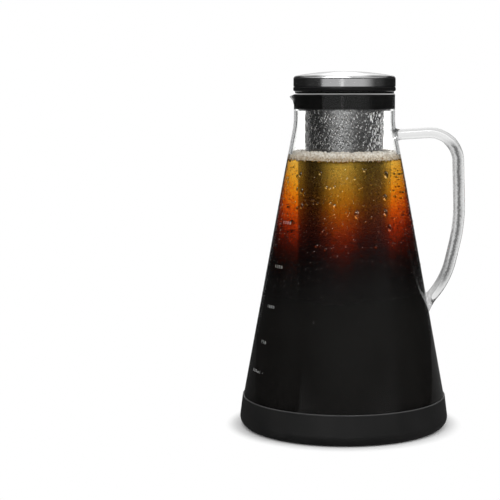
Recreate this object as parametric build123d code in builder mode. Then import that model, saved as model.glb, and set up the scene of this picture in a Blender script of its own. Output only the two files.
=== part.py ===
"""Cold brew coffee maker: a conical glass carafe with a filter that hangs in its neck and a steel lid.

Units are millimetres. The origin is the centre of the base on the table, +Z is up, the handle is
on +X and the pouring lip is on -X.
"""

import os
from math import atan
from math import cos

from build123d import *

# Glass carafe
carafe_base_radius = 75.9  # the cone's outside, carried down to the table
carafe_taper = 0.1854  # how much the cone's radius drops for each millimetre of height
rim_height = 236.6
neck_length = 21.6  # the straight neck, below the rim
shoulder_length = 33.0  # the steeper stretch between the cone and the neck
neck_radius = 35.65
shoulder_blend = 60.0
carafe_wall = 2.3
carafe_floor_height = 2.5  # underside of the glass, above the table
carafe_floor = 3.5
heel_radius = 10.0
rim_round = 0.9

# Pouring lip
lip_reach = 3.4  # how far the lip stands out of the neck
lip_radius = 14.0
lip_depth = 7.0
lip_drop = 2.2  # how far the lip's tip lies below the rim

# Glass handle
rod_radius = 4.1
handle_reach = 82.3  # the knee's corner, from the carafe's axis
handle_root_height = 207.6  # axis of the upper root
handle_top_inset = 2.2  # the upper corner, inside the knee's corner
handle_top_height = 210.6
handle_upper_bend = 22.7
handle_knee_height = 145.7
handle_knee_bend = 115.0
handle_elbow_inset = 9.7  # the elbow's corner, inside the knee's corner
handle_elbow_height = 104.6
handle_elbow_bend = 60.0
handle_foot_height = 89.0
root_flare = 2.4  # how much wider the rod is where it is fused to the wall
root_length = 6.0

# Silicone base sleeve
sleeve_height = 22.0
sleeve_wall = 0.7  # at the top edge
sleeve_taper = 0.127
sleeve_heel = 6.5
sleeve_lip_round = 0.4

# Filter
filter_radius = 27.5
filter_wall = 0.5
mesh_wall = 0.3
filter_floor_gap = 7.0  # free height between the carafe's floor and the filter's cup
cup_wall = 0.9
cup_height = 7.0
cup_round = 2.0
ferrule_wall = 0.7
ferrule_skirt = 12.0  # how far the ferrule reaches down from the collar's top
ferrule_lip = 1.7
tube_depth = 10.2  # top of the tube, below the collar's top

# Silicone collar
collar_depth = 11.0  # how far the collar reaches into the neck
collar_flange = 1.2
collar_flange_inset = 0.8  # the flange's edge, inside the glass rim's outer edge
collar_rib_height = 1.4
collar_rib_pitch = 3.2
collar_rib_count = 3
collar_rib_proud = 0.8
collar_first_rib = 2.2  # middle of the top rib, below the glass rim

# Lid
cap_overhang = 0.35  # the cap's side, outside the neck
cap_height = 10.7
cap_side_height = 7.3
cap_edge_round = 2.5
cap_wall = 0.8
gasket_height = 3.3  # of its outer ring, which lies on the collar
gasket_proud = 0.1
gasket_round = 1.2
plug_depth = 9.5  # how far the plug reaches below the collar's top
plug_disc_height = 4.6
plug_wall = 3.0
seal_height = 2.0
seal_pitch = 4.0
seal_count = 2
seal_groove = 0.9
first_seal = 2.2  # middle of the lower seal, above the plug's end

# Clearances
fit_clearance = 0.1  # between pieces of one assembly
running_clearance = 0.3  # between pieces that slide past each other
seat_gap = 0.1  # between pieces that rest on each other and lift apart


def cone_radius(height):
    """Outside radius of the carafe's cone at a height."""
    return carafe_base_radius - carafe_taper * height


def revolve_section(section):
    """Turns a section drawn in the XZ plane once around the Z axis."""
    revolve(section, axis=Axis.Z)


def ring(outer, inner, bottom, top):
    """A plain ring: a rectangular section for the sketch that is open."""
    with Locations((inner, bottom)):
        Rectangle(outer - inner, top - bottom, align=(Align.MIN, Align.MIN))


def save(piece, name):
    """Names a finished piece and writes it to its own file."""
    piece.label = name
    export_step(piece, f"parts/{name}.step")


os.makedirs("parts", exist_ok=True)

# ---------------------------------------------------------------- glass carafe
neck_height = rim_height - neck_length
shoulder_height = neck_height - shoulder_length
wall_across = carafe_wall / cos(atan(carafe_taper))  # the cone's wall, measured level
neck_bore = neck_radius - wall_across
floor_top = carafe_floor_height + carafe_floor
lip_foot = rim_height - lip_depth
lip_centre = neck_radius + lip_reach - lip_radius
lip_foot_radius = lip_radius - lip_reach - carafe_wall / 4
lip_tip = neck_radius + lip_reach


def vessel_section(bottom, inset, heel, top):
    """Half section of the carafe's outside (inset 0) or of its hollow."""
    with BuildSketch(Plane.XZ) as section:
        with BuildLine():
            FilletPolyline(
                (0, bottom),
                (cone_radius(bottom) - inset, bottom),
                (cone_radius(shoulder_height) - inset, shoulder_height),
                (neck_radius - inset, neck_height),
                (neck_radius - inset, top),
                radius=[heel, shoulder_blend, shoulder_blend],
            )
            Polyline((neck_radius - inset, top), (0, top), (0, bottom))
        make_face()
    return section.sketch


def lip_channel(inset, top):
    """The lip's outside (inset 0) or its hollow, swelling from the neck up to the rim."""
    with BuildSketch(Plane.XY.offset(lip_foot)) as foot:
        with Locations((-lip_centre, 0)):
            Circle(lip_foot_radius - inset)
    with BuildSketch(Plane.XY.offset(top)) as mouth:
        with Locations((-lip_centre, 0)):
            Circle(lip_radius - inset)
    loft([foot.sketch, mouth.sketch])


with BuildPart() as vessel_outside:
    revolve_section(vessel_section(carafe_floor_height, 0, heel_radius, rim_height))
    lip_channel(0, rim_height)

with BuildPart() as vessel_hollow:
    revolve_section(vessel_section(floor_top, wall_across, heel_radius - carafe_wall, rim_height))
    lip_channel(carafe_wall, rim_height)

with BuildPart() as carafe_glass:
    add(vessel_outside.part)
    add(vessel_hollow.part, mode=Mode.SUBTRACT)
    fillet(carafe_glass.edges().group_by(Axis.Z)[-1], rim_round)
    with BuildSketch(Plane.XZ) as lip_slope:
        with BuildLine():
            Polyline(
                (-neck_bore, rim_height),
                (-lip_tip, rim_height - lip_drop),
                (-lip_tip, rim_height + lip_drop),
                (-neck_bore, rim_height),
            )
        make_face()
    extrude(amount=lip_radius, both=True, mode=Mode.SUBTRACT)
save(carafe_glass.part, "carafe_glass")

# ---------------------------------------------------------------- glass handle
handle_foot_reach = cone_radius(handle_foot_height)
root_radius = rod_radius + root_flare
root_start = neck_bore  # inside the wall, and cut back to it below
shoulder_slope = (cone_radius(shoulder_height) - neck_radius) / shoulder_length
wall_at_root = neck_radius + max(neck_height - handle_root_height, 0) * shoulder_slope

with BuildPart() as glass_handle:
    with BuildLine(Plane.XZ) as handle_path:
        FilletPolyline(
            (root_start, handle_root_height),
            (handle_reach - handle_top_inset, handle_top_height),
            (handle_reach, handle_knee_height),
            (handle_reach - handle_elbow_inset, handle_elbow_height),
            (handle_foot_reach, handle_foot_height),
            radius=[handle_upper_bend, handle_knee_bend, handle_elbow_bend],
        )
    handle_line = handle_path.line
    with BuildSketch(Plane(origin=handle_line @ 0, z_dir=handle_line % 0)):
        Circle(rod_radius)
    sweep()
    outward = handle_line % 0
    upper_root = handle_line @ 0 + outward * ((wall_at_root - root_start) / outward.X)
    with Locations(Plane(origin=upper_root, z_dir=outward)):
        Cone(root_radius, rod_radius, root_length, align=(Align.CENTER, Align.CENTER, Align.MIN))
    with Locations(Plane(origin=handle_line @ 1, z_dir=-(handle_line % 1))):
        Cone(root_radius, rod_radius, root_length, align=(Align.CENTER, Align.CENTER, Align.MIN))
        Cylinder(root_radius, root_length, align=(Align.CENTER, Align.CENTER, Align.MAX))
    add(vessel_outside.part, mode=Mode.SUBTRACT)
save(glass_handle.part, "glass_handle")

# ---------------------------------------------------------------- silicone base sleeve
sleeve_top_radius = cone_radius(sleeve_height) + fit_clearance + sleeve_wall
sleeve_base_radius = sleeve_top_radius + sleeve_taper * sleeve_height

with BuildPart() as base_sleeve:
    with BuildSketch(Plane.XZ) as sleeve_section:
        with BuildLine():
            FilletPolyline(
                (0, 0),
                (sleeve_base_radius, 0),
                (sleeve_top_radius, sleeve_height),
                (0, sleeve_height),
                radius=[sleeve_heel, sleeve_lip_round],
            )
            Line((0, sleeve_height), (0, 0))
        make_face()
        add(
            vessel_section(
                carafe_floor_height - fit_clearance,
                -fit_clearance,
                heel_radius + fit_clearance,
                rim_height,
            ),
            mode=Mode.SUBTRACT,
        )
    revolve_section(sleeve_section.sketch)
save(base_sleeve.part, "base_sleeve")

# ---------------------------------------------------------------- filter
collar_seat = rim_height + seat_gap
collar_top = collar_seat + collar_flange
collar_bottom = rim_height - collar_depth
collar_rib_radius = neck_bore - running_clearance
collar_radius = collar_rib_radius - collar_rib_proud
ferrule_bore = filter_radius + fit_clearance
ferrule_radius = ferrule_bore + ferrule_wall
ferrule_top = collar_top + ferrule_wall
collar_bore = ferrule_radius + fit_clearance

with BuildPart() as filter_collar:
    with BuildSketch(Plane.XZ) as collar_section:
        ring(collar_radius, collar_bore, collar_bottom, collar_top)
        ring(neck_radius - collar_flange_inset, collar_bore, collar_seat, collar_top)
        for rib in range(collar_rib_count):
            middle = rim_height - collar_first_rib - rib * collar_rib_pitch
            ring(
                collar_rib_radius,
                collar_bore,
                middle - collar_rib_height / 2,
                middle + collar_rib_height / 2,
            )
    revolve_section(collar_section.sketch)
save(filter_collar.part, "filter_collar")

with BuildPart() as filter_ferrule:
    with BuildSketch(Plane.XZ) as ferrule_section:
        ring(ferrule_radius, ferrule_bore, collar_top - ferrule_skirt, ferrule_top)
        ring(ferrule_radius + ferrule_lip, ferrule_bore, collar_top, ferrule_top)
    revolve_section(ferrule_section.sketch)
save(filter_ferrule.part, "filter_ferrule")

cup_bottom = floor_top + filter_floor_gap
cup_floor_top = cup_bottom + cup_wall
cup_radius = filter_radius + fit_clearance + cup_wall
tube_bottom = cup_floor_top + fit_clearance
tube_top = collar_top - tube_depth

with BuildPart() as filter_tube:
    with BuildSketch(Plane.XZ) as tube_section:
        ring(filter_radius, filter_radius - filter_wall, tube_bottom, tube_top)
    revolve_section(tube_section.sketch)
save(filter_tube.part, "filter_tube")

mesh_radius = filter_radius - filter_wall - fit_clearance

with BuildPart() as filter_mesh:
    with BuildSketch(Plane.XZ) as mesh_section:
        ring(mesh_radius, mesh_radius - mesh_wall, tube_bottom, tube_top)
    revolve_section(mesh_section.sketch)
save(filter_mesh.part, "filter_mesh")

with BuildPart() as filter_cup:
    with BuildSketch(Plane.XZ) as cup_section:
        with Locations((0, cup_bottom)):
            Rectangle(cup_radius, cup_height, align=(Align.MIN, Align.MIN))
        fillet(cup_section.vertices().sort_by(Axis.Y)[:2].sort_by(Axis.X)[-1], cup_round)
        with Locations((0, cup_floor_top)):
            Rectangle(cup_radius - cup_wall, cup_height, align=(Align.MIN, Align.MIN), mode=Mode.SUBTRACT)
    revolve_section(cup_section.sketch)
save(filter_cup.part, "filter_cup")

# ---------------------------------------------------------------- lid
gasket_bottom = collar_top + seat_gap
gasket_top = gasket_bottom + gasket_height
gasket_recess = ferrule_radius + ferrule_lip + running_clearance  # takes the ferrule's lip
cap_radius = neck_radius + cap_overhang
gasket_radius = cap_radius + gasket_proud
cap_top = gasket_top + cap_height
dome_rise = cap_height - cap_side_height
dome_radius = (cap_radius**2 + dome_rise**2) / (2 * dome_rise)
dome_centre = cap_top - dome_radius
plug_radius = ferrule_bore - 2 * running_clearance - fit_clearance
plug_bottom = collar_top - plug_depth
seal_radius = ferrule_bore - running_clearance
groove_radius = plug_radius - seal_groove


def cap_section(radius, bottom, dome, edge):
    """Half section of the domed cap's outside, or of its hollow."""
    with BuildSketch(Plane.XZ) as section:
        with Locations((0, bottom)):
            Rectangle(radius, cap_top - bottom, align=(Align.MIN, Align.MIN))
        with Locations((0, dome_centre)):
            Circle(dome, mode=Mode.INTERSECT)
        fillet(section.vertices().sort_by(Axis.X)[-2:].sort_by(Axis.Y)[-1], edge)
    return section.sketch


with BuildPart() as lid_cap:
    with BuildSketch(Plane.XZ) as shell_section:
        add(cap_section(cap_radius, gasket_top, dome_radius, cap_edge_round))
        add(
            cap_section(
                cap_radius - cap_wall,
                gasket_top,
                dome_radius - cap_wall,
                cap_edge_round - cap_wall,
            ),
            mode=Mode.SUBTRACT,
        )
    revolve_section(shell_section.sketch)
save(lid_cap.part, "lid_cap")

with BuildPart() as lid_gasket:
    with BuildSketch(Plane.XZ) as gasket_section:
        ring(gasket_radius, gasket_recess, gasket_bottom, gasket_top)
        ring(gasket_recess, plug_radius + fit_clearance, ferrule_top + seat_gap, gasket_top)
        fillet(gasket_section.vertices().group_by(Axis.X)[-1], gasket_round)
    revolve_section(gasket_section.sketch)
save(lid_gasket.part, "lid_gasket")

with BuildPart() as lid_core:
    with BuildSketch(Plane.XZ) as core_section:
        ring(plug_radius, 0, plug_bottom, gasket_top + plug_disc_height)
        ring(cap_radius - cap_wall - fit_clearance, 0, gasket_top, gasket_top + plug_disc_height)
        for seal in range(seal_count):
            middle = plug_bottom + first_seal + seal * seal_pitch
            with Locations((groove_radius, middle - seal_height / 2)):
                Rectangle(plug_radius, seal_height, align=(Align.MIN, Align.MIN), mode=Mode.SUBTRACT)
        with Locations((0, plug_bottom + plug_wall)):
            Rectangle(
                groove_radius - plug_wall,
                plug_depth + plug_disc_height + gasket_height,
                align=(Align.MIN, Align.MIN),
                mode=Mode.SUBTRACT,
            )
    revolve_section(core_section.sketch)
save(lid_core.part, "lid_core")

for seal in range(seal_count):
    middle = plug_bottom + first_seal + seal * seal_pitch
    with BuildPart() as lid_seal:
        with BuildSketch(Plane.XZ) as seal_section:
            ring(
                seal_radius,
                groove_radius,
                middle - seal_height / 2,
                middle + seal_height / 2,
            )
            fillet(seal_section.vertices().group_by(Axis.X)[-1], seal_height / 3)
        revolve_section(seal_section.sketch)
    save(lid_seal.part, f"lid_seal_{seal + 1}")
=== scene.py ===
"""The cold brew coffee maker: glass, drink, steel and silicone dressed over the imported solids."""

import math
import random

import bmesh
import bpy
import numpy as np
from mathutils import Matrix, Vector


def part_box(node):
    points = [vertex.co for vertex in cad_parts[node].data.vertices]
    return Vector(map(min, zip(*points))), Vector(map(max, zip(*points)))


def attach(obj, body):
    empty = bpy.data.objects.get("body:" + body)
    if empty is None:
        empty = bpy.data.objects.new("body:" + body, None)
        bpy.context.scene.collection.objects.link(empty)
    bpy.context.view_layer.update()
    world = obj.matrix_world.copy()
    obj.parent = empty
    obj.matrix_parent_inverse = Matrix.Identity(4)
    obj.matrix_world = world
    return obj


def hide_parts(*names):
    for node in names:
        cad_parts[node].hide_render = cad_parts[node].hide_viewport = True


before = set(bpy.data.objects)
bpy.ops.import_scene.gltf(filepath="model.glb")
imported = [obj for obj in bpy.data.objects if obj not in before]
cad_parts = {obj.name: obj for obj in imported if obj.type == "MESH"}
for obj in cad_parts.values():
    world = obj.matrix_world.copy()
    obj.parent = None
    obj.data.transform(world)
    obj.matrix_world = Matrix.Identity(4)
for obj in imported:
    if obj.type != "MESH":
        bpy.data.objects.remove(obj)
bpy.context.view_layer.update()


# ------------------------------------------------------------------ the standing view
# The carafe stands a little right of the middle, seen from just above its lid, with the handle
# on the right and the pouring lip on the left.
view_distance = 1.0
view_height = 0.2394
view_tilt = math.radians(6.5)
view_turn = math.radians(1.5)
lens = bpy.data.cameras.new("view")
lens.sensor_width = 36.0
lens.lens = 101.56
lens.shift_x = -0.1146
camera = bpy.data.objects.new("view", lens)
camera.location = (0.0, -view_distance, view_height)
camera.rotation_euler = (math.pi / 2 - view_tilt, 0.0, view_turn)
bpy.context.scene.collection.objects.link(camera)
bpy.context.scene.camera = camera
bpy.context.scene.view_settings.view_transform = "Standard"


# ------------------------------------------------------------------ carafe glass
# A borosilicate vessel blown into a cone, with a straight neck, a fire-polished rim and a small
# lip pulled out opposite the handle. Where the empty wall is seen edge on, a dark line of painted
# shade is laid into its colour.
MM = 0.001  # a millimetre: lengths are in metres
cone_base = 75.9 * MM  # outside radius, carried down to the table
cone_taper = 0.1854
shoulder_height = 182.0 * MM
neck_height = 215.0 * MM
neck_radius = 35.65 * MM
shoulder_blend = 60.0 * MM
glass_bottom, rim_height = (corner.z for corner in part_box("carafe_glass"))
glass_wall = 2.3 * MM
glass_floor = glass_bottom + 3.5 * MM
heel_radius = 10.0 * MM
rim_round = 0.9 * MM
lip_reach = 3.4 * MM
lip_radius = 14.0 * MM
lip_depth = 7.0 * MM
lip_drop = 2.2 * MM  # the lip's tip lies lower than the rim
lip_centre = neck_radius + lip_reach - lip_radius
lip_foot_radius = lip_radius - lip_reach - glass_wall / 4
lip_melt = 1.2 * MM  # how softly the lip runs into the neck
lip_spread = 0.7  # cosine of the widest turn that the lip can reach


def cone_radius(height):
    """Outside radius of the glass cone at a height."""
    return cone_base - cone_taper * height


def rounded(corners, step=4 * MM, arc_parts=8):
    """Points along corners of (radius, height, rounding), with arcs and evenly divided runs."""
    spots = [Vector((r, h)) for r, h, _ in corners]
    line = [spots[0]]

    def run_to(end):
        start = line[-1]
        parts = max(1, math.ceil((end - start).length / step))
        line.extend(start.lerp(end, i / parts) for i in range(1, parts + 1))

    for i in range(1, len(corners) - 1):
        back = (spots[i - 1] - spots[i]).normalized()
        ahead = (spots[i + 1] - spots[i]).normalized()
        half = back.angle(ahead) / 2
        rounding = corners[i][2]
        if rounding <= 0 or half > math.radians(89.9):
            run_to(spots[i])
            continue
        reach = rounding / math.tan(half)
        middle = spots[i] + (back + ahead).normalized() * (rounding / math.sin(half))
        run_to(spots[i] + back * reach)
        first = line[-1] - middle
        last = spots[i] + ahead * reach - middle
        turn = first.angle_signed(last)
        for part in range(1, arc_parts + 1):
            angle = -turn * part / arc_parts
            line.append(middle + Matrix.Rotation(angle, 2) @ first)
    run_to(spots[-1])
    return [(point.x, point.y) for point in line]


def shown(mesh, body, material):
    """A mesh put into the scene as a piece that rides on a body and shows one material."""
    mesh.materials.append(material)
    piece = bpy.data.objects.new(mesh.name, mesh)
    bpy.context.scene.collection.objects.link(piece)
    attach(piece, body)
    return piece


def piece_from(name, points, faces, body, slot, material, sharp=math.radians(35)):
    """A piece with outward faces, smooth but for its sharp edges."""
    mesh = bpy.data.meshes.new(name)
    mesh.from_pydata(points, [], faces)
    shape = bmesh.new()
    shape.from_mesh(mesh)
    bmesh.ops.recalc_face_normals(shape, faces=shape.faces)
    shape.to_mesh(mesh)
    shape.free()
    mesh.shade_smooth()
    mesh.set_sharp_from_angle(angle=sharp)
    return shown(mesh, body, material)


def ring_faces(here, above, sides):
    """The quads between two rings of points, each given by its first point."""
    faces = []
    for side in range(sides):
        beside = (side + 1) % sides
        faces.append((here + side, here + beside, above + beside, above + side))
    return faces


def turned(outline, sides=192, swell=None):
    """Points and faces of an outline of (radius, height), turned once round the upright axis.

    An outline that starts and ends on the axis closes there, and any other closes on itself.
    """
    on_axis = outline[0][0] < 1e-9
    rings = outline[1:-1] if on_axis else outline
    points = []
    for radius, height in rings:
        for side in range(sides):
            angle = 2 * math.pi * side / sides
            out = swell(angle, radius, height) if swell else radius
            points.append((out * math.cos(angle), out * math.sin(angle), height))
    faces = []
    last = len(rings) - 1 if on_axis else len(rings)
    for row in range(last):
        faces.extend(ring_faces(row * sides, (row + 1) % len(rings) * sides, sides))
    if on_axis:
        for ring, end in ((0, 0), (len(rings) - 1, -1)):
            points.append((0.0, 0.0, outline[end][1]))
            tip = len(points) - 1
            first = ring * sides
            faces.extend((first + side, first + (side + 1) % sides, tip) for side in range(sides))
    return points, faces


class Link:
    """The output of a shader node, which takes part in plain sums."""

    def __init__(self, nodes, socket):
        self.nodes = nodes
        self.socket = socket

    def __add__(self, other):
        return self.nodes.maths("ADD", self, other)

    __radd__ = __add__

    def __sub__(self, other):
        return self.nodes.maths("SUBTRACT", self, other)

    def __rsub__(self, other):
        return self.nodes.maths("SUBTRACT", other, self)

    def __mul__(self, other):
        return self.nodes.maths("MULTIPLY", self, other)

    __rmul__ = __mul__

    def __truediv__(self, other):
        return self.nodes.maths("DIVIDE", self, other)

    def __rtruediv__(self, other):
        return self.nodes.maths("DIVIDE", other, self)


class Nodes:
    """A node tree that is written as plain calls."""

    def __init__(self, tree):
        self.tree = tree

    def add(self, kind, settings=None, values=None, out=0):
        """One node of a kind, with its settings made first, then its inputs; gives one output."""
        node = self.tree.nodes.new("ShaderNode" + kind)
        for name, setting in (settings or {}).items():
            if name == "stops":
                ramp = node.color_ramp.elements
                for index, (place, colour) in enumerate(setting):
                    stop = ramp[index] if index < 2 else ramp.new(place)
                    stop.position = place
                    stop.color = (*colour, 1.0)
            else:
                setattr(node, name, setting)
        for name, value in (values or {}).items():
            self.feed(node.inputs[name], value)
        return Link(self, node.outputs[out])

    def feed(self, socket, value):
        """Links a value into a socket, or sets it there; a colour is given without its alpha."""
        if isinstance(value, Link):
            self.tree.links.new(value.socket, socket)
        elif socket.type == "RGBA":
            socket.default_value = (*value, 1.0)
        else:
            socket.default_value = value

    def maths(self, operation, *values):
        """One step of plain arithmetic on values or links."""
        return self.add("Math", {"operation": operation}, dict(enumerate(values)))

    def vector(self, operation, *values, out=0):
        """One step of arithmetic on vectors."""
        return self.add("VectorMath", {"operation": operation}, dict(enumerate(values)), out)

    def part(self, vector, axis):
        """One component of a vector."""
        return self.add("SeparateXYZ", {}, {"Vector": vector}, axis)

    def place(self):
        """Object coordinates, in metres."""
        return self.add("TexCoord", out="Object")

    def facing(self):
        """The surface's direction in object coordinates."""
        return self.add("TexCoord", out="Normal")

    def edge_on(self):
        """From 0 where the surface is seen face on to 1 where it is seen edge on."""
        return self.add("LayerWeight", {}, {"Blend": 0.5}, "Facing")

    def noise(self, scale, detail=3.0, vector=None):
        """Even noise between 0 and 1 at a number of waves for each metre."""
        values = {"Vector": vector or self.place(), "Scale": scale, "Detail": detail}
        return self.add("TexNoise", {}, values)

    def between(self, value, low, high, start=0.0, end=1.0):
        """Eases from start to end while a value goes from low to high."""
        return self.add(
            "MapRange",
            {"interpolation_type": "SMOOTHSTEP"},
            {"Value": value, "From Min": low, "From Max": high, "To Min": start, "To Max": end},
        )

    def band(self, value, rise_from, rise_to, fall_from, fall_to):
        """Eases from 0 to 1 and back to 0 as a value passes two pairs of edges."""
        rise = self.between(value, rise_from, rise_to)
        return rise * self.between(value, fall_from, fall_to, 1.0, 0.0)

    def ramp(self, value, stops):
        """A colour that a value between 0 and 1 picks from given stops."""
        return self.add("ValToRGB", {"stops": stops}, {"Fac": value})

    def blend(self, share, first, second):
        """Two colours mixed by a share."""
        return self.add("Mix", {"data_type": "RGBA"}, {0: share, 6: first, 7: second}, 2)

    def bump(self, height, distance, strength):
        """A normal that a height field tilts."""
        values = {"Height": height, "Distance": distance, "Strength": strength}
        return self.add("Bump", {}, values)

    def principled(self):
        """The material's own Principled shader."""
        return Link(self, self.tree.nodes["Principled BSDF"].outputs[0])


def new_material(name, constants):
    """A material with its Principled shader set; gives it, its nodes and the shader's inputs."""
    material = bpy.data.materials.new(name)
    material.use_nodes = True
    nodes = Nodes(material.node_tree)
    shader = material.node_tree.nodes["Principled BSDF"].inputs
    for socket, value in constants.items():
        nodes.feed(shader[socket], value)
    return material, nodes, shader


def let_lamps_through(material, tint, shader=None):
    """Lets lamp light pass a clear material straight, so that what is inside it is lit."""
    tree = material.node_tree
    nodes = Nodes(tree)
    clear = nodes.add("BsdfTransparent", {}, {"Color": tint})
    lamp_ray = nodes.add("LightPath", out="Is Shadow Ray")
    mixed = nodes.add("MixShader", {}, {0: lamp_ray, 1: shader or nodes.principled(), 2: clear})
    nodes.feed(tree.nodes["Material Output"].inputs["Surface"], mixed)


def greys(*stops):
    """Stops of a ramp that runs through plain greys."""
    return [(place, (grey, grey, grey)) for place, grey in stops]


glass_clear = (0.985, 0.99, 0.985)
lamp_tint = (0.96, 0.96, 0.96)  # what a wall leaves of the lamps' light
# the grey of the painted shade line on empty glass walls
edge_shade_grey = (0.30, 0.31, 0.31)
glass_index = 1.45
drink_index = 1.2


def clear_glass(name, index, stops=None, above=0.0):
    """Clear glass, which may carry painted shade: a dark line where it is seen edge on above a
    height.
    """
    material, nodes, shader = new_material(
        name,
        {
            "Base Color": glass_clear,
            "Transmission Weight": 1.0,
            "IOR": index,
            "Roughness": 0.0,
            "Specular Tint": (0.6, 0.6, 0.6),
        },
    )
    if stops:
        empty = nodes.between(nodes.part(nodes.place(), "Z"), above - MM, above + MM)
        # painted shade: the colour darkens where the wall is seen edge on
        painted_edge_shade = nodes.ramp(nodes.edge_on(), stops)
        nodes.feed(shader["Base Color"], nodes.blend(empty, glass_clear, painted_edge_shade))
    let_lamps_through(material, lamp_tint)
    return material


def change_faces(piece, material, chosen):
    """Shows another material on the faces that are chosen by their middle and direction."""
    piece.data.materials.append(material)
    for face in piece.data.polygons:
        if chosen(face.center, face.normal):
            face.material_index = len(piece.data.materials) - 1


def lip_swell(angle, radius, height):
    """Radius of the neck's wall, pulled out towards -X near the rim to make the pouring lip."""
    away = math.pi - angle
    if height <= rim_height - lip_depth or math.cos(away) < lip_spread:
        return radius
    rise = (height - rim_height + lip_depth) / lip_depth
    inset = neck_radius - radius
    round_here = lip_foot_radius + (lip_radius - lip_foot_radius) * rise - inset
    inside = round_here**2 - (lip_centre * math.sin(away)) ** 2
    if inside < 0:
        return radius
    pulled = lip_centre * math.cos(away) + math.sqrt(inside)
    near = max(lip_melt - abs(radius - pulled), 0.0) / lip_melt
    return max(radius, pulled) + near * near * lip_melt / 4


wall_across = glass_wall * math.hypot(1.0, cone_taper)
bore = neck_radius - wall_across


def dipped(point):
    """A point of the rim, let down towards the tip of the lip."""
    x, y, z = point
    out = min(max(-x - bore, 0.0) / (neck_radius + lip_reach - bore), 1.0)
    rise = max(z - rim_height + lip_depth, 0.0) / lip_depth
    return x, y, z - lip_drop * out * rise


glass_outline = rounded(
    [
        (0.0, glass_bottom, 0),
        (cone_radius(glass_bottom), glass_bottom, heel_radius),
        (cone_radius(shoulder_height), shoulder_height, shoulder_blend),
        (neck_radius, neck_height, shoulder_blend),
        (neck_radius, rim_height, rim_round),
        (bore, rim_height, rim_round),
        (bore, neck_height, shoulder_blend),
        (cone_radius(shoulder_height) - wall_across, shoulder_height, shoulder_blend),
        (cone_radius(glass_floor) - wall_across, glass_floor, heel_radius - glass_wall),
        (0.0, glass_floor, 0),
    ]
)
# painted shade: clear face on, dark grey where the empty wall is seen edge on
edge_shade_tints = [
    (0.0, glass_clear),
    (0.68, glass_clear),
    (0.74, edge_shade_grey),
    (0.80, edge_shade_grey),
    (0.86, glass_clear),
    (1.0, glass_clear),
]
drink_top = 190.4 * MM
froth_top = 195.9 * MM
vessel_glass = clear_glass("clear_glass", glass_index, edge_shade_tints, drink_top)
inner_glass = clear_glass("inner_glass", glass_index)
wet_glass = clear_glass("wet_glass", glass_index / drink_index)
# painted highlight: the rim and lip get partly matt grey glass, paler where seen edge on, so they
# show a bright line
rim_highlight_glass, nodes, shader = new_material(
    "rim_highlight_glass", {"Transmission Weight": 0.3, "IOR": glass_index, "Roughness": 0.1}
)
nodes.feed(shader["Base Color"], nodes.ramp(nodes.edge_on(), greys((0.0, 0.16), (1.0, 0.75))))
let_lamps_through(rim_highlight_glass, lamp_tint)
points, faces = turned(glass_outline, sides=256, swell=lip_swell)
points = [dipped(point) for point in points]
carafe = piece_from("carafe_vessel", points, faces, "carafe", "clear_glass", vessel_glass)
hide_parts("carafe_glass")
collar_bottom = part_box("filter_collar")[0].z


def inside(middle, direction):
    """True on the vessel's inner wall and floor, and on the foot of a drop outside on the wall."""
    return direction.xy.dot(middle.xy) < 0 or (direction.z > 0.9 and middle.z < 2 * glass_floor)


def touched(middle, direction):
    """True where the drink or the filter's collar lies against the inner wall."""
    return inside(middle, direction) and not froth_top - MM < middle.z < collar_bottom


def polished(middle, direction):
    """True on the rounded edge of the rim and on the lip, where the painted highlight goes."""
    on_lip = middle.x < -neck_radius - lip_reach / 6 and middle.z > rim_height - lip_depth
    return middle.z > rim_height - rim_round or on_lip


change_faces(carafe, inner_glass, inside)
change_faces(carafe, wet_glass, touched)
change_faces(carafe, rim_highlight_glass, polished)


# ------------------------------------------------------------------ glass handle
# A solid glass rod, bent hot and fused to the neck and to the lower wall, where it melts out
# into a wider root. It is thinner where it runs level. Its colour carries painted shade and light:
# a streaky dark line down its bow, and a paler top and darker underside where it runs level.
rod_radius = 4.1 * MM
level_radius = 3.75 * MM
corner_height = 206.0 * MM  # below it the rod has turned down
upper_flare = 0.9 * MM
lower_flare = 2.2 * MM
root_length = 6.0 * MM
root_sink = 0.3 * MM
steepest_root = 0.3  # the least that a root's line turns towards the axis
slide_steps = 12
handle_corners = [
    (neck_radius, 207.6 * MM, 0),
    (79.8 * MM, 210.3 * MM, 20.5 * MM),
    (81.9 * MM, 145.7 * MM, 115.0 * MM),
    (72.6 * MM, 104.6 * MM, 60.0 * MM),
    (cone_radius(89.0 * MM), 89.0 * MM, 0),
]


def outer_wall(height):
    """Outside radius of the vessel at a height."""
    share = (height - shoulder_height) / (neck_height - shoulder_height)
    top = cone_radius(shoulder_height)
    return min(cone_radius(height), max(top + (neck_radius - top) * share, neck_radius))


def to_wall(point, along):
    """How far a point slides along a direction to lie just inside the vessel's outer surface."""
    slide = 0.0
    for _ in range(slide_steps):
        spot = point + along * slide
        short = math.hypot(spot.x, spot.y) - outer_wall(spot.z) + root_sink
        slide += short / max(-along.x, steepest_root)
    return slide


def thickness(spot):
    """Radius of the rod at a place on its line."""
    down = min(max((corner_height - spot.z) / rod_radius, 0.0), 1.0)
    return level_radius + (rod_radius - level_radius) * down * down * (3 - 2 * down)


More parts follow.
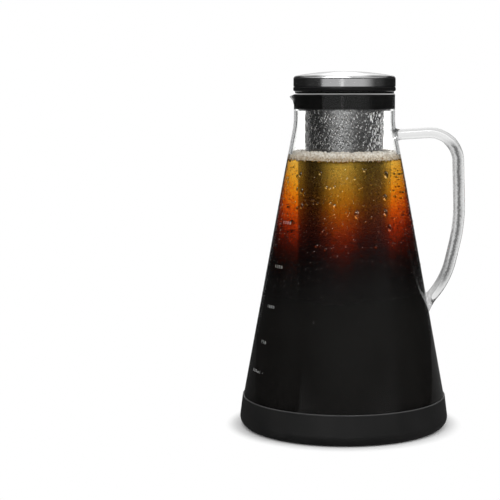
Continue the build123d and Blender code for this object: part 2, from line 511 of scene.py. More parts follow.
def drawn_rod(line, sides=40, root_rings=10):
    """A round rod along a line in the XZ plane, whose two ends flare out and meet the wall."""
    spots = [Vector((x, 0.0, z)) for x, z in line]
    travelled = [0.0]
    for before, after in zip(spots, spots[1:]):
        travelled.append(travelled[-1] + (after - before).length)
    across = Vector((0.0, 1.0, 0.0))
    rings = []

    def root(end, inner, sense, flare):
        """The rings of one root, from the rod to the wall; its sense keeps them turning one way."""
        along = (end - inner).normalized()
        upward = along.cross(across) * sense
        rows = []
        for ring in range(1, root_rings + 1):
            share = ring / root_rings
            size = thickness(inner) + flare * share**3
            row = []
            for side in range(sides):
                angle = 2 * math.pi * side / sides
                arm = size * (math.cos(angle) * across + math.sin(angle) * upward)
                foot = to_wall(end + arm, along)
                row.append(inner.lerp(end, share) + arm + along * foot * share**2)
            rows.append(row)
        return rows

    for index, spot in enumerate(spots):
        if not root_length < travelled[index] < travelled[-1] - root_length:
            continue
        along = (spots[index + 1] - spots[index - 1]).normalized()
        upward = along.cross(across)
        row = []
        thick = thickness(spot)
        for side in range(sides):
            angle = 2 * math.pi * side / sides
            row.append(spot + thick * (math.cos(angle) * across + math.sin(angle) * upward))
        rings.append((spot, row))
    first = root(spots[0], rings[0][0], -1.0, upper_flare)
    last = root(spots[-1], rings[-1][0], 1.0, lower_flare)
    rows = first[::-1] + [row for _, row in rings] + last
    points = [point for row in rows for point in row]
    faces = []
    for row in range(len(rows) - 1):
        faces.extend(ring_faces(row * sides, (row + 1) * sides, sides))
    end = (len(rows) - 1) * sides
    faces.append(tuple(range(sides)))
    faces.append(tuple(end + side for side in range(sides)))
    return points, faces


rod_glass, nodes, shader = new_material(
    "rod_glass", {"Transmission Weight": 1.0, "IOR": glass_index, "Roughness": 0.0}
)
bow_middle = (-30.0 * MM, 0.0, 175.0 * MM)  # the bow goes round this point
# painted shade down the bow: a streaky dark line in the clear rod's colour
bow_painted_shade = greys(  # from the rod's inner side to its outer side
    (0.0, 0.22),
    (0.08, 0.04),
    (0.17, 0.10),
    (0.28, 0.17),
    (0.36, 0.05),
    (0.45, 0.006),
    (0.56, 0.010),
    (0.68, 0.08),
    (0.82, 0.20),
    (1.0, 0.36),
)
# painted light and shade where the rod runs level: paler on top, darker underneath
level_painted_shade = greys(  # from its underside to its top
    (0.0, 0.20), (0.12, 0.34), (0.30, 0.26), (0.60, 0.28), (0.80, 0.50), (1.0, 0.70)
)
outward = nodes.vector("NORMALIZE", nodes.vector("SUBTRACT", nodes.place(), bow_middle))
facing_out = nodes.vector("DOT_PRODUCT", nodes.facing(), outward, out="Value")
facing_up = nodes.part(nodes.facing(), "Z")
mottle = nodes.noise(900.0)
bend = nodes.noise(45.0, 2.0)
height = nodes.part(nodes.place(), "Z")
wander = (bend - 0.5) * 0.12 + (mottle - 0.5) * 0.34
bow = nodes.ramp(facing_out * 0.5 + 0.5 + wander, bow_painted_shade)
level = nodes.ramp(facing_up * 0.5 + 0.5 + (mottle - 0.5) * 0.12, level_painted_shade)
foot = nodes.between(height, 92.0 * MM, 108.0 * MM)  # the streaks end above the lower root
turned_down = foot * nodes.between(height, 199.0 * MM, corner_height, 1.0, 0.0)
# the painted shade of the bow where the rod runs down, the painted light and shade of the level run
# above
painted_rod_shade = nodes.blend(turned_down, level, bow)
from_inside = nodes.add("NewGeometry", out="Backfacing")
nodes.feed(shader["Base Color"], nodes.blend(from_inside, painted_rod_shade, glass_clear))
let_lamps_through(rod_glass, lamp_tint)
points, faces = drawn_rod(rounded(handle_corners, step=1.5 * MM, arc_parts=24))
handle = piece_from(
    "carafe_handle", points, faces, "carafe", "clear_glass", rod_glass, sharp=math.radians(60)
)
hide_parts("glass_handle")
# painted light: the roots get a partly matt pale glass that the lamps light, so that they read pale
root_painted_light, nodes, shader = new_material(
    "root_painted_light", {"Transmission Weight": 0.35, "IOR": glass_index}
)
seed = nodes.noise(500.0, 2.0)
nodes.feed(shader["Base Color"], nodes.blend(seed, (0.60, 0.60, 0.60), (0.74, 0.74, 0.74)))
nodes.feed(shader["Roughness"], nodes.between(seed, 0.3, 0.7, 0.1, 0.3))
let_lamps_through(root_painted_light, (0.9, 0.9, 0.9))


def fused(middle, direction):
    """True where the rod has melted into the lower wall."""
    return middle.z < corner_height and middle.x < outer_wall(middle.z) + root_length / 2


change_faces(handle, root_painted_light, fused)


# ------------------------------------------------------------------ silicone parts
# The base sleeve, the filter's collar, the lid's gasket and its two seals are moulded in matt
# black silicone: faintly mottled, with a soft sheen and a little dust. The sleeve's top edge is
# painted paler, a painted highlight.
def silicone(name, grey, rough, gloss, edge=None):
    """Matt black moulded silicone, painted paler along an edge at a height as a painted highlight.
    """
    material, nodes, shader = new_material(name, {"IOR": 1.42, "Specular IOR Level": gloss})
    cloud = nodes.noise(60.0, 4.0)
    grain = nodes.noise(2200.0, 2.0)
    worn = (grey * 1.35, grey * 1.33, grey * 1.3)
    colour = nodes.blend(nodes.between(cloud, 0.3, 0.7), (grey, grey, grey), worn)
    if edge:
        height = nodes.part(nodes.place(), "Z")
        # painted highlight: a paler band just below the edge's height
        painted_edge_highlight = nodes.between(height, edge - 0.8 * MM, edge - 0.2 * MM) * (0.4 + cloud * 0.6)
        colour = nodes.blend(painted_edge_highlight, colour, (0.06, 0.06, 0.06))
    nodes.feed(shader["Base Color"], colour)
    nodes.feed(shader["Roughness"], nodes.between(cloud, 0.2, 0.8, rough, rough + 0.14))
    nodes.feed(shader["Normal"], nodes.bump(grain, 0.05 * MM, 0.25))
    return material


def dress(node, material):
    """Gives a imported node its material, in its object's own slots."""
    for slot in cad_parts[node].material_slots:
        slot.link = "OBJECT"
        slot.material = material


sleeve_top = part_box("base_sleeve")[1].z
# the sleeve's top edge carries the painted highlight
dress("base_sleeve", silicone("sleeve_silicone", 0.006, 0.40, 0.5, sleeve_top))
seal_silicone = silicone("seal_silicone", 0.005, 0.28, 0.3)
dress("filter_collar", silicone("collar_silicone", 0.004, 0.42, 0.1))
for node in ("lid_gasket", "lid_seal_1", "lid_seal_2"):
    dress(node, seal_silicone)


# ------------------------------------------------------------------ filter steel
# The filter is stainless steel: a tube pierced all over with fine holes, a rolled ferrule and a
# pressed cup. Above the drink the tube is wet, and glitters with small drops. Its colour is
# painted darker at the holes, and darker still above the drink with dark speckles: painted shade.
filter_radius = 27.5 * MM
steel_grey = (0.80, 0.80, 0.80)
# painted shade: the steel's colour above the drink
painted_shade_grey = (0.32, 0.32, 0.32)
# painted shade: the colour of the holes, which are not modelled
hole_shade_grey = (0.10, 0.10, 0.10)
hole_pitch = 1.1 * MM


def steel(name, rough, grain_scale, grain_height):
    """Bright stainless steel with a fine even grain."""
    material, nodes, shader = new_material(name, {"Metallic": 1.0})
    grain = nodes.noise(grain_scale)
    shade = nodes.blend(nodes.between(grain, 0.3, 0.7), (0.52, 0.52, 0.52), (0.68, 0.68, 0.68))
    nodes.feed(shader["Base Color"], shade)
    nodes.feed(shader["Roughness"], nodes.between(grain, 0.2, 0.8, rough, rough + 0.1))
    nodes.feed(shader["Normal"], nodes.bump(grain, grain_height, 0.3))
    return material


pierced, nodes, shader = new_material("pierced_steel", {"Metallic": 1.0})
across, deep, height = (nodes.part(nodes.place(), axis) for axis in "XYZ")
holes_round = round(2 * math.pi * filter_radius / hole_pitch)
columns = nodes.maths("COSINE", nodes.maths("ARCTAN2", deep, across) * holes_round)
rows = nodes.maths("COSINE", height * (2 * math.pi / hole_pitch))
holes = nodes.between(columns * rows, 0.25, 0.55)
wet = nodes.between(height, drink_top - 4 * MM, drink_top + 2 * MM)
speckle = nodes.noise(620.0)
ripple = nodes.noise(850.0, 2.0)
# painted shade: dark dots at the holes, and above the drink dark speckles
painted_shade_share = holes * (0.08 + 0.25 * wet) + wet * nodes.between(speckle, 0.46, 0.60) * 0.7
sheet = nodes.blend(wet, steel_grey, painted_shade_grey)
nodes.feed(shader["Base Color"], nodes.blend(painted_shade_share, sheet, hole_shade_grey))
nodes.feed(shader["Roughness"], nodes.between(speckle, 0.3, 0.7, 0.14, 0.26))
nodes.feed(shader["Normal"], nodes.bump(ripple * wet + holes * -0.06, 0.6 * MM, 0.5))
dress("filter_tube", pierced)
dress("filter_mesh", steel("liner_steel", 0.35, 2500.0, 0.1 * MM))
rolled_steel = steel("rolled_steel", 0.24, 800.0, 0.03 * MM)
dress("filter_ferrule", rolled_steel)
dress("filter_cup", rolled_steel)


# ------------------------------------------------------------------ lid steel
# The cap is pressed from stainless sheet and brushed in circles: the brushing lies level round
# its side and in rings on its dome. The dome's colour is painted dark in fans to the left and
# right:
# a painted reflection of the bright and dark fans that turned metal shows.
brushed, nodes, shader = new_material("brushed_steel", {"Metallic": 1.0})
place = nodes.place()
level = nodes.vector("MULTIPLY", place, (1.0, 1.0, 0.0))
out_from_axis = nodes.vector("LENGTH", level, out="Value")
rings = nodes.add("CombineXYZ", {}, {"X": out_from_axis, "Z": nodes.part(place, "Z")})
brushing = nodes.noise(9000.0, 2.0, vector=rings)
patch = nodes.noise(160.0)
spots = nodes.noise(700.0, 2.0)
forward = nodes.part(nodes.vector("NORMALIZE", level), "Y")
fan_shade_sides = nodes.between(forward * forward, 0.66, 0.93, 1.0, 0.0)
# painted reflection: the dome's colour turns dark in fans to the left and right
sweep = nodes.between(nodes.part(nodes.facing(), "Z"), 0.25, 0.7) * fan_shade_sides
steel_share = nodes.between(brushing, 0.3, 0.7) * 0.5 + patch * 0.5
steel_shade = nodes.blend(steel_share, (0.60, 0.60, 0.60), (0.74, 0.74, 0.74))
nodes.feed(shader["Base Color"], nodes.blend(sweep * 0.9, steel_shade, (0.10, 0.10, 0.10)))
nodes.feed(shader["Roughness"], nodes.between(patch, 0.3, 0.7, 0.13, 0.2))
dents = brushing * 0.3 + nodes.between(spots, 0.5, 0.7)
nodes.feed(shader["Normal"], nodes.bump(dents, 0.02 * MM, 0.35))
dress("lid_cap", brushed)


# ------------------------------------------------------------------ lid core
# The cap is pressed over a core of moulded black plastic, with an evenly spark-eroded matt grain.
# Its plug carries the two seals into the filter's ferrule.
plug_plastic, nodes, shader = new_material("plug_plastic", {"IOR": 1.48})
grain = nodes.noise(1500.0)
black = nodes.blend(nodes.between(grain, 0.3, 0.7), (0.012, 0.012, 0.012), (0.02, 0.02, 0.02))
nodes.feed(shader["Base Color"], black)
nodes.feed(shader["Roughness"], nodes.between(grain, 0.2, 0.8, 0.4, 0.55))
nodes.feed(shader["Normal"], nodes.bump(grain, 0.03 * MM, 0.3))
dress("lid_core", plug_plastic)


# ------------------------------------------------------------------ the drink
# Cold brew fills the cone to just above the shoulder: clear amber under the froth, turning
# orange, red and then black as it goes down, and deeper where its surface is seen edge on. The
# amber is the drink's own; the darkening with depth and edge on, and the opaque dark shader deep
# down, are painted shade for the thicker drink that light crosses. It stops a hair short of the
# glass.
drink_gap = 0.15 * MM
drink_bottom = glass_floor + drink_gap
brew_radius = wall_across + drink_gap  # how far inside the cone the drink ends
drink_outline = rounded(
    [
        (0.0, drink_bottom, 0),
        (cone_radius(glass_floor) - brew_radius, drink_bottom, heel_radius - glass_wall),
        (cone_radius(shoulder_height) - brew_radius, shoulder_height, 0),
        (cone_radius(drink_top) - brew_radius - 3 * drink_gap, drink_top, 0),
        (0.0, drink_top, 0),
    ]
)
# the drink's own amber at the top, then painted shade that deepens with depth
brew_tints = [  # from its surface down
    (0.0, (0.50, 0.30, 0.045)),
    (0.05, (0.48, 0.24, 0.027)),
    (0.11, (0.47, 0.175, 0.006)),
    (0.17, (0.41, 0.079, 0.0009)),
    (0.23, (0.255, 0.022, 0.0008)),
    (0.29, (0.095, 0.0058, 0.0008)),
    (0.35, (0.026, 0.0022, 0.0007)),
    (0.43, (0.005, 0.0015, 0.0010)),
    (0.55, (0.0022, 0.0014, 0.0010)),
]
cold_brew, nodes, shader = new_material(
    "cold_brew", {"Transmission Weight": 1.0, "IOR": 1.0, "Roughness": 0.0}
)
height = nodes.part(nodes.place(), "Z")
cloud = nodes.noise(28.0, vector=nodes.vector("MULTIPLY", nodes.place(), (1.0, 1.0, 0.3)))
dew = nodes.between(nodes.noise(650.0, 2.0), 0.32, 0.68, -0.5, 0.5)
still_depth = (drink_top - height) / drink_top + (cloud - 0.5) * 0.08
# painted shade: the tint deepens where the surface is seen edge on
depth = still_depth + dew * 0.045 + nodes.edge_on() * 0.145 - 0.034
nodes.feed(shader["Base Color"], nodes.ramp(depth, brew_tints))
# painted shade: deep down an opaque dark shader takes over from the clear drink
deep_shade = nodes.add(
    "BsdfPrincipled",
    {},
    {
        "Base Color": nodes.blend(cloud, (0.0065, 0.0060, 0.0055), (0.0105, 0.0098, 0.0092)),
        "Roughness": 0.9,
        "Specular IOR Level": 0.0,
    },
)
deep_shade_share = nodes.between(still_depth, 0.32, 0.62)
brew = nodes.add("MixShader", {}, {0: deep_shade_share, 1: nodes.principled(), 2: deep_shade})
let_lamps_through(cold_brew, (0.25, 0.12, 0.03), brew)
piece_from("cold_brew_drink", *turned(drink_outline), "carafe", "cold_brew", cold_brew)


# ------------------------------------------------------------------ froth
# A few millimetres of cream froth float on the drink between the filter and the glass: a lumpy
# ring with bubbles of many sizes on its top, its side and its lower edge.
froth_bottom = drink_top + 0.05 * MM
froth_inner = filter_radius + 0.4 * MM
froth_lumps = 0.5 * MM
froth_cream = (0.58, 0.47, 0.32)
froth_pale = (0.98, 0.94, 0.87)
froth_brown = (0.22, 0.11, 0.03)
bubbles_on_glass = 620
bubbles_on_top = 520


def bore_at(height):
    """Radius of the vessel's inner wall at a height."""
    return outer_wall(height) - wall_across


random.seed(7)
lumps = [(random.randint(9, 60), random.uniform(0, 2 * math.pi)) for _ in range(9)]


def froth_swell(angle, radius, height):
    """Radius of the froth's ring with its lumps."""
    wave = sum(math.sin(count * angle + start) for count, start in lumps) / len(lumps)
    return radius - froth_lumps * (1 + wave) / 2


froth_middle = (froth_bottom + froth_top) / 2
froth_outline = [
    (froth_inner, froth_bottom),
    (bore_at(froth_bottom) - 0.5 * MM, froth_bottom),
    (bore_at(froth_middle) - 0.3 * MM, froth_middle),
    (bore_at(froth_top) - 0.4 * MM, froth_top - 0.4 * MM),
    (bore_at(froth_top) - 1.6 * MM, froth_top),
    ((froth_inner + bore_at(froth_top)) / 2, froth_top - 0.7 * MM),
    (froth_inner + 1.5 * MM, froth_top),
    (froth_inner, froth_top - 0.5 * MM),
]
froth, nodes, shader = new_material(
    "froth", {"IOR": 1.33, "Roughness": 0.35, "Specular IOR Level": 0.4}
)
cells = nodes.add("TexVoronoi", {}, {"Vector": nodes.place(), "Scale": 620.0})
pits = nodes.noise(900.0, 2.0)
rise = nodes.between(nodes.part(nodes.place(), "Z"), froth_bottom - 0.6 * MM, froth_top)
pale_share = rise * 0.7 + nodes.between(cells, 0.6, 0.2) * 0.3
cream = nodes.blend(pale_share, froth_cream, froth_pale)
brown_pits = nodes.between(pits, 0.52, 0.64) * (1.0 - rise * 0.8) * 0.75
brown_share = brown_pits + nodes.between(cells, 0.5, 0.8) * 0.25
nodes.feed(shader["Base Color"], nodes.blend(brown_share, cream, froth_brown))
nodes.feed(shader["Normal"], nodes.bump(1.0 - cells, 0.8 * MM, 0.7))
piece_from("froth_ring", *turned(froth_outline, swell=froth_swell), "carafe", "foam", froth)


def scattered(name, template, spots, body, material):
    """A piece of many copies of a small shape, each given by its place and its three axes."""
    points, faces = template
    shape = np.array(points)
    copies = [np.array(place) + shape @ np.array(axes) for place, *axes in spots]
    all_faces = []
    for first in range(0, len(spots) * len(points), len(points)):
        all_faces.extend(tuple(first + corner for corner in face) for face in faces)
    mesh = bpy.data.meshes.new(name)
    mesh.from_pydata(np.concatenate(copies).tolist(), [], all_faces)
    mesh.shade_smooth()
    return shown(mesh, body, material)


def dome(rings, sides, sweep):
    """Points and faces of a ball of radius 1, from its top down to where it is cut open."""
    points = [(0.0, 0.0, 1.0)]
    for ring in range(1, rings + 1):
        tilt = sweep * ring / rings
        out = math.sin(tilt)
        for side in range(sides):
            turn = 2 * math.pi * side / sides
            points.append((out * math.cos(turn), out * math.sin(turn), math.cos(tilt)))
    faces = [(0, 1 + side, 1 + (side + 1) % sides) for side in range(sides)]
    for first in range(1, 1 + (rings - 1) * sides, sides):
        for side in range(sides):
            beside = (side + 1) % sides
            quad = (side, sides + side, sides + beside, beside)
            faces.append(tuple(first + corner for corner in quad))
    return points, faces


def ball(rings=4, sides=8):
    """A small closed ball of radius 1."""
    points, faces = dome(rings - 1, sides, math.pi * (rings - 1) / rings)
    last = len(points)
    first = last - sides
    points.append((0.0, 0.0, -1.0))
    faces.extend((last, first + (side + 1) % sides, first + side) for side in range(sides))
    return points, faces


def bubble(size, reach, height):
    """Place and axes of a bubble, somewhere round the axis."""
    angle = random.uniform(0, 2 * math.pi)
    place = (reach * math.cos(angle), reach * math.sin(angle), height)
    return place, (size, 0, 0), (0, size, 0), (0, 0, size)


bubbles = []
for _ in range(bubbles_on_glass):
    size = random.choice((0.4, 0.55, 0.8, 1.1, 1.5)) * MM
    height = random.triangular(froth_bottom - 1.0 * MM, froth_top, froth_bottom)
    gap = 0.3 * MM if height < froth_bottom + size else 0.1 * MM
    bubbles.append(bubble(size, bore_at(height) - size - gap, height))
for _ in range(bubbles_on_top):
    size = random.choice((0.4, 0.55, 0.75, 1.0, 1.3)) * MM
    reach = random.uniform(froth_inner + size, bore_at(froth_top) - size - 0.2 * MM)
    bubbles.append(bubble(size, reach, froth_top - 0.3 * MM))
scattered("froth_bubbles", ball(), bubbles, "carafe", froth)


# ------------------------------------------------------------------ drops of water
# Water clings to the filter above the drink, and condensation beads on the outside of the cold
# glass: a few large beads run in chains, and the rest is a fine mist. The drops' colour and
# emission carry painted shade and light: a dark rim, a lower edge that shines grey or in the
# drink's colour, and a small white painted highlight.
fine_drops = 1300
heavy_drops = 85
single_beads = 330
mist_drops = 3600
bead_sink = 0.12 * MM
water_clear = (0.96, 0.96, 0.96)
water_shade = (0.95, 0.95, 0.95)
# painted shade: the colour of a drop's dark rim
painted_rim_shade = (0.06, 0.05, 0.04)
# painted highlight: the colour of a drop's emitted white glints
painted_glint_colour = (0.9, 0.86, 0.8)
# painted light: the emitted colour of a drop's lower edge
painted_glow_tints = [  # the drink's colour in a drop's lower edge, from the drink's surface down
    (0.0, (0.55, 0.36, 0.14)),
    (0.10, (0.50, 0.24, 0.04)),
    (0.24, (0.24, 0.06, 0.012)),
    (0.36, (0.05, 0.025, 0.018)),
    (0.50, (0.02, 0.018, 0.018)),
]
water, nodes, shader = new_material(
    "water", {"Transmission Weight": 1.0, "IOR": 1.33, "Roughness": 0.0, "Emission Strength": 1.0}
)
height = nodes.part(nodes.place(), "Z")
wall = nodes.vector("NORMALIZE", nodes.vector("MULTIPLY", nodes.place(), (1.0, 1.0, 0.0)))
aside = nodes.vector("CROSS_PRODUCT", wall, (0.0, 0.0, 1.0))


def leaning(right, upward):
    """How nearly a drop's surface faces a way that leans off the wall."""
    sideways = nodes.vector("MULTIPLY", aside, (right, right, right))
    lean = nodes.vector("ADD", nodes.vector("ADD", wall, sideways), (0.0, 0.0, upward))
    lean = nodes.vector("NORMALIZE", lean)
    return nodes.vector("DOT_PRODUCT", nodes.facing(), lean, out="Value")


# painted shade: the drop's colour turns dark round its rim
rim = nodes.between(leaning(0.0, 0.1), 0.62, 0.95, 1.0, 0.0)
upper = nodes.between(leaning(-0.5, 1.2), 0.3, 0.8)
below = nodes.between(height, drink_top - 2 * MM, drink_top, 1.0, 0.0)
painted_dark_rim = rim * (0.75 + upper * 0.6) * (1.0 - below * 0.45)
nodes.feed(shader["Base Color"], nodes.blend(painted_dark_rim, water_clear, painted_rim_shade))
# painted light: the lower edge emits grey above the drink and the drink's colour below it
painted_lit_edge = nodes.between(leaning(0.55, -0.6), 0.80, 0.95) * (0.55 + below * 0.45)
painted_glow = nodes.ramp((drink_top - height) / drink_top, painted_glow_tints)
painted_glow = nodes.blend(below, (0.75, 0.75, 0.75), painted_glow)
painted_edge_light = nodes.blend(painted_lit_edge, (0.0, 0.0, 0.0), painted_glow)
# painted highlight: a small emitted white spot near the drop's top
painted_glint = nodes.between(leaning(-0.45, 0.55), 0.975, 0.995) * (1.0 - below * 0.8)
nodes.feed(shader["Emission Color"], nodes.blend(painted_glint, painted_edge_light, painted_glint_colour))
let_lamps_through(water, water_shade)
bare_water, nodes, shader = new_material(
    "bare_water", {"Transmission Weight": 1.0, "IOR": 1.0, "Roughness": 0.0}
)
nodes.feed(shader["Base Color"], (0.97, 0.97, 0.97))
let_lamps_through(bare_water, water_shade)


def bead(rings=3, sides=10):
    """A drop on a wall: half a ball that stands out along +Z, closed underneath."""
    points, faces = dome(rings, sides, math.pi / 2)
    faces.append(tuple(reversed(range(len(points) - sides, len(points)))))
    return points, faces


def on_wall(angle, height, radius, lean, size, tall, thick):
    """Place and axes of a drop on an upright or leaning wall of a radius at a height."""
    across, deep = math.cos(angle), math.sin(angle)
    right = Vector((-deep, across, 0.0))
    out = Vector((across * math.cos(lean), deep * math.cos(lean), math.sin(lean)))
    up = out.cross(right)
    place = Vector((radius * across, radius * deep, height)) - out * bead_sink
    return place, right * size, up * size * tall, out * size * thick


clinging = []
for _ in range(fine_drops):
    size = random.choice((0.3, 0.4, 0.55, 0.75, 1.0)) * MM
    height = random.uniform(froth_top + 2.2 * MM, collar_bottom - 1.0 * MM)
    angle = random.uniform(0, 2 * math.pi)
    tall = random.uniform(0.9, 1.9)
    clinging.append(on_wall(angle, height, filter_radius, 0.0, size, tall, 0.6))
heavy = random.Random(5)
for _ in range(heavy_drops):  # down one side
    size = heavy.uniform(0.8, 1.3) * MM
    height = heavy.uniform(froth_top + 3.6 * MM, collar_bottom - 2.0 * MM)
    angle = math.radians(heavy.uniform(-50, -14))
    tall = heavy.uniform(1.5, 2.5)
    clinging.append(on_wall(angle, height, filter_radius, 0.0, size, tall, 0.7))
scattered("filter_drops", bead(), clinging, "filter", water)
cone_lean = math.atan(cone_taper)


def on_glass(angle, height, size, tall, thick=0.5):
    """A drop on the outside of the glass cone."""
    return on_wall(angle, height, cone_radius(height), cone_lean, size, tall, thick)


large_beads = (  # turn from the front, height, size and how tall: two runs and a few alone
    (42.4, 181.0, 2.2, 1.3),
    (38.2, 165.8, 1.8, 1.4),
    (36.8, 155.6, 2.0, 1.4),
    (39.4, 145.1, 1.6, 1.8),
    (40.5, 133.8, 0.9, 1.5),
    (-44.8, 181.0, 1.9, 1.1),
    (-40.8, 169.9, 1.4, 1.6),
    (-37.6, 168.0, 0.9, 1.7),
    (-38.7, 159.7, 1.4, 1.5),
    (-47.3, 170.8, 0.8, 2.3),
    (-44.0, 157.9, 0.7, 2.4),
    (-22.4, 182.5, 1.5, 1.0),
    (-15.9, 173.2, 1.2, 1.0),
    (-12.6, 172.4, 1.0, 1.1),
    (-9.0, 173.5, 1.1, 1.3),
    (-11.8, 162.4, 1.1, 1.0),
    (-8.0, 160.8, 1.4, 1.0),
    (-23.3, 162.1, 1.1, 1.0),
    (19.5, 184.5, 1.6, 0.9),
    (9.7, 179.0, 1.1, 1.0),
    (10.6, 154.8, 2.0, 1.6),
    (-21.3, 133.7, 1.4, 1.0),
    (-14.1, 131.6, 1.1, 1.0),
    (-16.8, 143.8, 1.1, 1.0),
    (25.1, 133.2, 1.1, 1.0),
    (23.2, 152.8, 0.8, 1.4),
)
beads = [
    on_glass(math.radians(turn - 90), height * MM, size * MM, tall)
    for turn, height, size, tall in large_beads
]
for turn in (25, 70, 118, 160, 205):  # beads that run down in line
    height = random.uniform(174, 182) * MM
    while height > random.uniform(122, 140) * MM:
        size = random.uniform(0.75, 1.45) * MM
        angle = math.radians(turn) + random.gauss(0, 0.035)
        beads.append(on_glass(angle, height, size, random.uniform(1.2, 2.0)))
        height -= random.uniform(2.2, 6.5) * MM
for _ in range(single_beads):
    size = random.triangular(0.35, 0.9, 0.4) * MM
    height = random.triangular(75, 186, 168) * MM
    angle = random.uniform(0, 2 * math.pi)
    beads.append(on_glass(angle, height, size, random.uniform(1.0, 1.5)))
glass_drops = scattered("glass_drops", bead(), beads, "carafe", water)
change_faces(glass_drops, bare_water, inside)

mist = []
for _ in range(mist_drops):
    size = random.triangular(0.12, 0.42, 0.2) * MM
    height = random.triangular(60, 187, 178) * MM
    angle = random.uniform(0, 2 * math.pi)
    mist.append(on_glass(angle, height, size, random.uniform(1.0, 1.6), 0.6))
glass_mist = scattered("glass_mist", bead(2, 7), mist, "carafe", water)
change_faces(glass_mist, bare_water, inside)


# ------------------------------------------------------------------ volume marks
# Small white enamel marks are printed on the left of the glass, a number for each quarter of a
# litre and a dash after the lowest.
top_mark_turn = math.radians(-144.5)
low_mark_turn = math.radians(-152.5)
mark_size = 3.0 * MM
digit_middle = 0.3 * mark_size
letter_gap = 1.8
stroke_thinning = 0.05 * MM
print_depth = 0.03 * MM
marks = {
    "500ml -": 43.5 * MM,
    "750": 64.2 * MM,
    "1000": 89.1 * MM,
    "1250": 117.0 * MM,
    "1500": 147.5 * MM,
}
enamel, nodes, shader = new_material("white_print", {"IOR": 1.5, "Roughness": 0.5})
worn = nodes.between(nodes.noise(900.0), 0.35, 0.65)
nodes.feed(shader["Base Color"], nodes.blend(worn, (0.36, 0.36, 0.36), (0.66, 0.66, 0.65)))


def print_mesh(words):
    """Points and faces of a printed number, flat, in metres."""
    letters = bpy.data.curves.new("print", "FONT")
    letters.body = words
    letters.size = mark_size
    letters.space_character = letter_gap
    letters.align_x = "CENTER"
    letters.extrude = print_depth
    letters.offset = -stroke_thinning
    letters.resolution_u = 3
    holder = bpy.data.objects.new("print", letters)
    mesh = bpy.data.meshes.new_from_object(holder)
    points = [tuple(v.co) for v in mesh.vertices]
    faces = [tuple(p.vertices) for p in mesh.polygons]
    bpy.data.objects.remove(holder)
    bpy.data.curves.remove(letters)
    bpy.data.meshes.remove(mesh)
    return points, faces


mark_points = []
mark_faces = []
lowest, highest = min(marks.values()), max(marks.values())
for words, mark_height in marks.items():
    points, faces = print_mesh(words)
    first = len(mark_points)
    share = (mark_height - lowest) / (highest - lowest)
    mark_turn = low_mark_turn + (top_mark_turn - low_mark_turn) * share
    for x, y, z in points:
        height = mark_height + (y - digit_middle) * math.cos(cone_lean)
        out = cone_radius(height) + (z + 2 * print_depth) * math.cos(cone_lean)
        angle = mark_turn + x / out
        mark_points.append((out * math.cos(angle), out * math.sin(angle), height))
    mark_faces.extend(tuple(first + corner for corner in face) for face in faces)
piece_from("volume_marks", mark_points, mark_faces, "carafe", "white_print", enamel)


# ------------------------------------------------------------------ table
# A pale matt table, which fades into white a finger's breadth beyond the base. What steel and
# glass mirror of it is a faint emitted glow, painted dimmer to the left and brighter to the right:
# painted light.
floor_size = 1.2
fade_from = 75.5 * MM
fade_to = 86.0 * MM
white = (1.0, 1.0, 1.0)
bpy.ops.mesh.primitive_plane_add(size=floor_size)
floor = bpy.context.object
floor.name = "floor"


def looks(nodes):
    """1 for a look that no matt surface has passed on, and 1 where a mirror has."""
    first_sight = nodes.maths("LESS_THAN", nodes.add("LightPath", out="Diffuse Depth"), 0.5)
    mirrors = nodes.maths("GREATER_THAN", nodes.add("LightPath", out="Glossy Depth"), 0.5)
    return first_sight, first_sight * mirrors


table, nodes, shader = new_material(
    "table", {"Base Color": (0.86, 0.86, 0.86), "Roughness": 0.9, "Specular IOR Level": 0.0}
)
first_sight, in_mirror = looks(nodes)
away = nodes.between(nodes.vector("LENGTH", nodes.place(), out="Value"), fade_from, fade_to)
bright = nodes.add("Emission", {}, {"Color": white, "Strength": 1.0})
faded = nodes.add("MixShader", {}, {0: away, 1: nodes.principled(), 2: bright})
# painted light: in mirrors the table emits a glow that is dimmer to the left and brighter to the
# right
painted_glow_strength = nodes.between(nodes.part(nodes.place(), "X"), -0.14, 0.06, 0.04, 0.10)
painted_mirror_glow = nodes.add("Emission", {}, {"Color": white, "Strength": painted_glow_strength})
mixed = nodes.add("MixShader", {}, {0: in_mirror, 1: faded, 2: painted_mirror_glow})
nodes.feed(table.node_tree.nodes["Material Output"].inputs["Surface"], mixed)
floor.data.materials.append(table)


# ------------------------------------------------------------------ surroundings and lamps
# White stands behind everything that is seen straight or through glass. What steel and glass
# mirror is a studio: a bright panel in front, dark sides, a white backdrop and a soft roof.
world = bpy.data.worlds.new("surroundings")
bpy.context.scene.world = world
world.use_nodes = True
world.cycles.sampling_method = "NONE"
nodes = Nodes(world.node_tree)
side, deep, up = (nodes.part(nodes.add("TexCoord"), axis) for axis in "XYZ")
azimuth = nodes.maths("ARCTAN2", side, deep * -1.0)  # from the front, rightwards
around = nodes.maths("ABSOLUTE", azimuth)


def past(angle, low, high):
    """Eases from 0 to 1 while an angle goes from low to high, in degrees."""
    return nodes.between(angle, math.radians(low), math.radians(high))


def wedge(angle, *edges):
    """Eases from 0 to 1 and back to 0 as an angle passes two pairs of edges, in degrees."""
    return nodes.band(angle, *(math.radians(edge) for edge in edges))


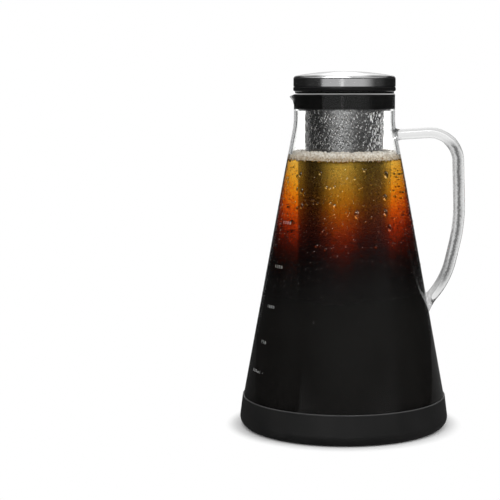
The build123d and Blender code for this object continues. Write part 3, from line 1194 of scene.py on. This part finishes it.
# the studio that outer surfaces mirror
panel = wedge(azimuth, -53, -50, 38, 76)
stripe = wedge(azimuth, -10, -6, -4, -1)
low = nodes.between(up, 0.06, 0.15, 1.0, 0.0)
front_glow = wedge(azimuth, -70, -10, 55, 92) * nodes.band(up, 0.08, 0.18, 0.18, 0.34)
window = wedge(azimuth, -60, -50, -5, 25) * nodes.band(up, 0.62, 0.66, 0.80, 0.84)
left_wall = wedge(azimuth, -105, -80, -62, -54)
right_wall = wedge(azimuth, 40, 70, 85, 110)
dusk = 0.014 + nodes.between(up, 0.06, 0.12) * 0.02 + left_wall * 0.02 + right_wall * 0.04
backdrop = past(around, 160, 172) * nodes.between(up, -0.16, -0.10)
backdrop = backdrop * (0.4 + nodes.between(up, 0.04, 0.3) * 1.3)
roof = nodes.between(up, 0.42, 0.58) * 0.9
studio = dusk + (panel * 0.6 + stripe * 0.55) * low + front_glow * 0.17 + window * 8.0
studio = nodes.maths("MAXIMUM", nodes.maths("MAXIMUM", studio, backdrop), roof)

# what the walls mirror inside, once a look has passed the glass
in_neck = nodes.between(up, -0.10, -0.06)
narrowed = azimuth * (1.0 + in_neck * 1.2)
inner_panel = wedge(narrowed, -80, -34, 14, 76) * (1.0 + in_neck * 0.25)
on_left = past(azimuth, 20, -20) * (1.0 - in_neck)
inner_back = past(around, 105, 175) * (1.0 - on_left * 0.6)
inner_right = past(azimuth, 40, 80) * (0.06 + in_neck * 0.12)
right_edge = past(azimuth, 85, 125) * in_neck
glints = past(azimuth, 60, 70) * 7.0 + wedge(azimuth, -35, -30, 0, 5) * 6.0
glints = glints * nodes.band(up, 0.26, 0.30, 0.40, 0.44)
within = 0.06 + inner_right + inner_panel + inner_back * 1.2 + right_edge * 0.3 + glints
passed_glass = nodes.add("LightPath", out="Transmission Depth")
in_wall = nodes.maths("GREATER_THAN", passed_glass, 0.5)
beyond = nodes.maths("GREATER_THAN", passed_glass, 3.5)
wall_back = in_wall * past(around, 146, 156) * 1.1
mirrored = beyond * within + (1.0 - beyond) * nodes.maths("MAXIMUM", studio, wall_back)

first_sight, in_mirror = looks(nodes)
passed = nodes.add("LightPath", out="Is Transmission Ray")
seen = nodes.maths("MAXIMUM", nodes.add("LightPath", out="Is Camera Ray"), passed)
straight = first_sight * (1.0 - in_mirror) * seen
through_glass = 1.0 + passed * 0.6  # makes up for what the clear walls mirror away
ambient = (1.0 - straight) * (1.0 - in_mirror) * 0.75
background = world.node_tree.nodes["Background"].inputs
nodes.feed(background["Color"], white)
nodes.feed(background["Strength"], straight * through_glass + in_mirror * mirrored + ambient)
lamp_aim = Vector((0.0, 0.0, 0.12))


def soft_lamp(name, place, size, power):
    """A large square soft panel that points at the carafe."""
    lamp = bpy.data.lights.new(name, "AREA")
    lamp.shape = "RECTANGLE"
    lamp.size = lamp.size_y = size
    lamp.energy = power
    holder = bpy.data.objects.new(name, lamp)
    holder.location = place
    holder.rotation_euler = (lamp_aim - Vector(place)).to_track_quat("-Z", "Y").to_euler()
    holder.visible_glossy = False
    holder.visible_transmission = False
    bpy.context.scene.collection.objects.link(holder)


soft_lamp("key_lamp", (-0.3, -1.0, 1.3), 1.0, 7.5)
soft_lamp("fill_lamp", (0.9, -0.5, 0.9), 0.8, 5.5)
